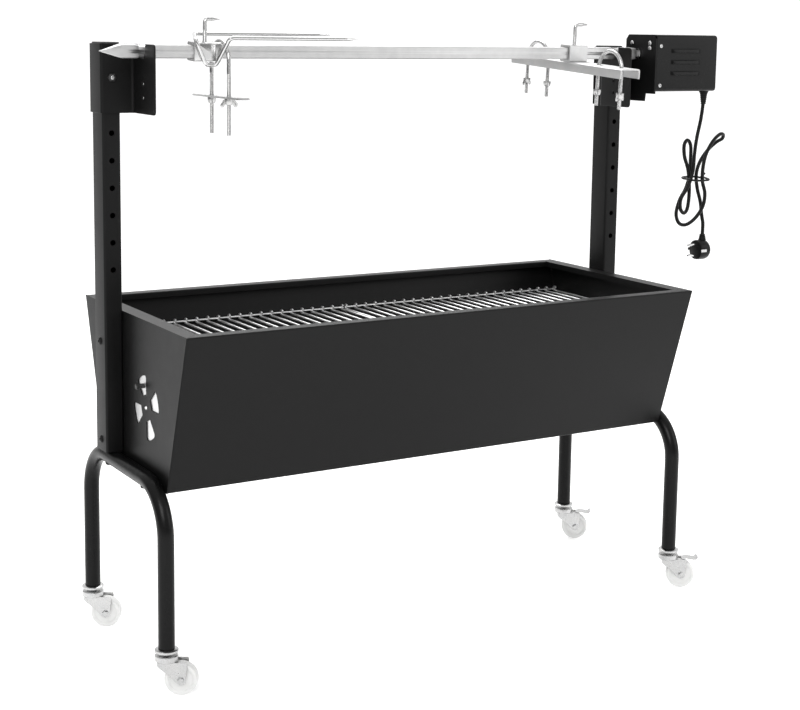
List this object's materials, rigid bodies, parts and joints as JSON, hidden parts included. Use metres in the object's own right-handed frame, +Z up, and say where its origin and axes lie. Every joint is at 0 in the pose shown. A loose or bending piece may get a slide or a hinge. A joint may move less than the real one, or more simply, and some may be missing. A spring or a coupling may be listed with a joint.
{
  "type": "rotisserie spit roaster",
  "caption": "Charcoal trough on castered tube legs with height-adjustable posts carrying a motor-driven square spit, prong fork and clamps.",
  "frame": {"origin": "centre of the footprint on the floor", "axes": "+X along the trough towards the motor, -Y the side of the user, +Z up"},
  "size_m": [1.2071, 0.415, 1.0013],
  "materials": {
    "brass": "plain",
    "chrome": "bright chrome",
    "nylon": "white nylon",
    "paint": "satin black powder coat",
    "plastic": "matt black",
    "steel": "satin steel",
    "zinc": "bright zinc plated"
  },
  "bodies": {
    "frame": {"trough_shell": "paint", "end_plate_left": "paint", "end_plate_right": "paint", "leg_frame_left": "paint", "leg_frame_right": "paint", "post_left": "paint", "post_right": "paint", "post_cap_left": "plastic", "post_cap_right": "plastic", "caster_stem_left_front": "zinc", "caster_stem_left_rear": "zinc", "caster_stem_right_front": "zinc", "caster_stem_right_rear": "zinc"},
    "damper_left": {"vent_damper_left": "zinc"},
    "grate_left": {"cooking_grate_left": "chrome"},
    "damper_right": {"vent_damper_right": "zinc"},
    "grate_right": {"cooking_grate_right": "chrome"},
    "caster_left_front": {"caster_fork_left_front": "zinc", "caster_axle_left_front": "zinc"},
    "wheel_left_front": {"caster_wheel_left_front": "nylon"},
    "caster_left_rear": {"caster_fork_left_rear": "zinc", "caster_axle_left_rear": "zinc"},
    "wheel_left_rear": {"caster_wheel_left_rear": "nylon"},
    "caster_right_front": {"caster_fork_right_front": "zinc", "caster_axle_right_front": "zinc"},
    "wheel_right_front": {"caster_wheel_right_front": "nylon"},
    "brake_right_front": {"brake_pedal_right_front": "zinc"},
    "caster_right_rear": {"caster_fork_right_rear": "zinc", "caster_axle_right_rear": "zinc"},
    "wheel_right_rear": {"caster_wheel_right_rear": "nylon"},
    "brake_right_rear": {"brake_pedal_right_rear": "zinc"},
    "motor_unit": {"spit_bracket_right": "paint", "motor_mount": "paint", "motor_cover": "paint", "gear_motor": "zinc", "cord_gland": "plastic", "power_cord": "plastic", "cord_tie": "plastic", "mains_plug": "plastic"},
    "left_bracket": {"spit_bracket_left": "paint"},
    "bolt_left": {"bracket_bolt_left": "zinc"},
    "bolt_right": {"bracket_bolt_right": "zinc"},
    "spit": {"spit_bar": "steel", "drive_gear": "steel"},
    "pinion": {"motor_pinion": "brass"},
    "fork": {"spit_fork": "chrome"},
    "fork_screw": {"fork_clamp_screw": "zinc"},
    "spine_bolt": {"spine_u_bolt": "zinc"},
    "spine_plate": {"spine_plate": "zinc"},
    "spine_nut_front": {"spine_wing_nut_front": "zinc"},
    "spine_nut_rear": {"spine_wing_nut_rear": "zinc"},
    "leg_bar": {"leg_bar": "steel"},
    "leg_bar_screw": {"leg_bar_clamp_screw": "zinc"},
    "foot_bolt_front": {"foot_u_bolt_front": "zinc"},
    "foot_nut_front_outer": {"foot_wing_nut_front_outer": "zinc"},
    "foot_nut_front_inner": {"foot_wing_nut_front_inner": "zinc"},
    "foot_bolt_rear": {"foot_u_bolt_rear": "zinc"},
    "foot_nut_rear_outer": {"foot_wing_nut_rear_outer": "zinc"},
    "foot_nut_rear_inner": {"foot_wing_nut_rear_inner": "zinc"}
  },
  "joints": [
    {"name": "damper_left_turn", "type": "hinge", "parent": "frame", "child": "damper_left", "pos_m": [-0.5346, -0.0525, 0.4125], "axis": [1, 0, 0], "range_deg": [-12, 12]},
    {"name": "grate_left_lift", "type": "slide", "parent": "frame", "child": "grate_left", "axis": [0, 0, 1], "range_m": [0, 0.04]},
    {"name": "damper_right_turn", "type": "hinge", "parent": "frame", "child": "damper_right", "pos_m": [0.4054, -0.0525, 0.4125], "axis": [1, 0, 0], "range_deg": [-12, 12]},
    {"name": "grate_right_lift", "type": "slide", "parent": "frame", "child": "grate_right", "axis": [0, 0, 1], "range_m": [0, 0.04]},
    {"name": "caster_left_front_swivel", "type": "hinge", "parent": "frame", "child": "caster_left_front", "pos_m": [-0.5474, -0.1567, 0.0705], "axis": [0, 0, 1], "continuous": true},
    {"name": "wheel_left_front_roll", "type": "hinge", "parent": "caster_left_front", "child": "wheel_left_front", "pos_m": [-0.5285, -0.16796, 0.025], "axis": [0.512, 0.859, 0], "continuous": true},
    {"name": "caster_left_rear_swivel", "type": "hinge", "parent": "frame", "child": "caster_left_rear", "pos_m": [-0.5474, 0.1567, 0.0705], "axis": [0, 0, 1], "continuous": true},
    {"name": "wheel_left_rear_roll", "type": "hinge", "parent": "caster_left_rear", "child": "wheel_left_rear", "pos_m": [-0.5285, 0.14544, 0.025], "axis": [0.512, 0.859, 0], "continuous": true},
    {"name": "caster_right_front_swivel", "type": "hinge", "parent": "frame", "child": "caster_right_front", "pos_m": [0.4182, -0.1567, 0.0705], "axis": [0, 0, 1], "continuous": true},
    {"name": "wheel_right_front_roll", "type": "hinge", "parent": "caster_right_front", "child": "wheel_right_front", "pos_m": [0.4371, -0.16796, 0.025], "axis": [0.512, 0.859, 0], "continuous": true},
    {"name": "brake_right_front_press", "type": "hinge", "parent": "caster_right_front", "child": "brake_right_front", "pos_m": [0.4401, -0.16976, 0.052], "axis": [0.512, 0.859, 0], "range_deg": [0, 12]},
    {"name": "caster_right_rear_swivel", "type": "hinge", "parent": "frame", "child": "caster_right_rear", "pos_m": [0.4182, 0.1567, 0.0705], "axis": [0, 0, 1], "continuous": true},
    {"name": "wheel_right_rear_roll", "type": "hinge", "parent": "caster_right_rear", "child": "wheel_right_rear", "pos_m": [0.4371, 0.14544, 0.025], "axis": [0.512, 0.859, 0], "continuous": true},
    {"name": "brake_right_rear_press", "type": "hinge", "parent": "caster_right_rear", "child": "brake_right_rear", "pos_m": [0.4401, 0.14364, 0.052], "axis": [0.512, 0.859, 0], "range_deg": [0, 12]},
    {"name": "motor_unit_height", "type": "slide", "parent": "frame", "child": "motor_unit", "axis": [0, 0, 1], "range_m": [-0.2532, 0]},
    {"name": "left_bracket_height", "type": "slide", "parent": "frame", "child": "left_bracket", "axis": [0, 0, 1], "range_m": [-0.2532, 0]},
    {"name": "bolt_left_draw", "type": "slide", "parent": "left_bracket", "child": "bolt_left", "axis": [0, -1, 0], "range_m": [0, 0.03]},
    {"name": "bolt_right_draw", "type": "slide", "parent": "motor_unit", "child": "bolt_right", "axis": [0, -1, 0], "range_m": [0, 0.03]},
    {"name": "spit_turn", "type": "hinge", "parent": "motor_unit", "child": "spit", "pos_m": [0.4054, 0, 0.948], "axis": [1, 0, 0], "continuous": true},
    {"name": "pinion_turn", "type": "hinge", "parent": "motor_unit", "child": "pinion", "pos_m": [0.4443, 0, 0.916], "axis": [1, 0, 0], "continuous": true},
    {"name": "fork_slide", "type": "slide", "parent": "spit", "child": "fork", "axis": [1, 0, 0], "range_m": [-0.05, 0]},
    {"name": "fork_screw_turn", "type": "hinge", "parent": "fork", "child": "fork_screw", "pos_m": [-0.4136, -0.00063, 0.95828], "axis": [0, -0.0611, 0.9981], "continuous": true},
    {"name": "spine_bolt_slide", "type": "slide", "parent": "spit", "child": "spine_bolt", "axis": [1, 0, 0], "range_m": [0, 0.5]},
    {"name": "spine_plate_slide", "type": "slide", "parent": "spine_bolt", "child": "spine_plate", "axis": [0, 0, 1], "range_m": [-0.035, 0.045]},
    {"name": "spine_nut_front_turn", "type": "hinge", "parent": "spine_plate", "child": "spine_nut_front", "pos_m": [-0.3871, -0.032, 0.8767], "axis": [0, 0, 1], "continuous": true},
    {"name": "spine_nut_rear_turn", "type": "hinge", "parent": "spine_plate", "child": "spine_nut_rear", "pos_m": [-0.3871, 0.032, 0.8767], "axis": [0, 0, 1], "continuous": true},
    {"name": "leg_bar_slide", "type": "slide", "parent": "spit", "child": "leg_bar", "axis": [1, 0, 0], "range_m": [-0.4, 0.05]},
    {"name": "leg_bar_screw_turn", "type": "hinge", "parent": "leg_bar", "child": "leg_bar_screw", "pos_m": [0.2924, -0.00063, 0.95828], "axis": [0, -0.0611, 0.9981], "continuous": true},
    {"name": "foot_bolt_front_slide", "type": "slide", "parent": "leg_bar", "child": "foot_bolt_front", "axis": [0, -0.0611, 0.9981], "range_m": [0, 0.02]},
    {"name": "foot_nut_front_outer_turn", "type": "hinge", "parent": "foot_bolt_front", "child": "foot_nut_front_outer", "pos_m": [0.2924, -0.1328, 0.88327], "axis": [0, -0.0611, 0.9981], "continuous": true},
    {"name": "foot_nut_front_inner_turn", "type": "hinge", "parent": "foot_bolt_front", "child": "foot_nut_front_inner", "pos_m": [0.2924, -0.06991, 0.88712], "axis": [0, -0.0611, 0.9981], "continuous": true},
    {"name": "foot_bolt_rear_slide", "type": "slide", "parent": "leg_bar", "child": "foot_bolt_rear", "axis": [0, -0.0611, 0.9981], "range_m": [0, 0.02]},
    {"name": "foot_nut_rear_outer_turn", "type": "hinge", "parent": "foot_bolt_rear", "child": "foot_nut_rear_outer", "pos_m": [0.2924, 0.13969, 0.89994], "axis": [0, -0.0611, 0.9981], "continuous": true},
    {"name": "foot_nut_rear_inner_turn", "type": "hinge", "parent": "foot_bolt_rear", "child": "foot_nut_rear_inner", "pos_m": [0.2924, 0.07681, 0.89609], "axis": [0, -0.0611, 0.9981], "continuous": true}
  ],
  "couplings": [
    {"joint": "left_bracket_height", "follows": "motor_unit_height", "ratio": 1},
    {"joint": "pinion_turn", "follows": "spit_turn", "ratio": -3}
  ]
}
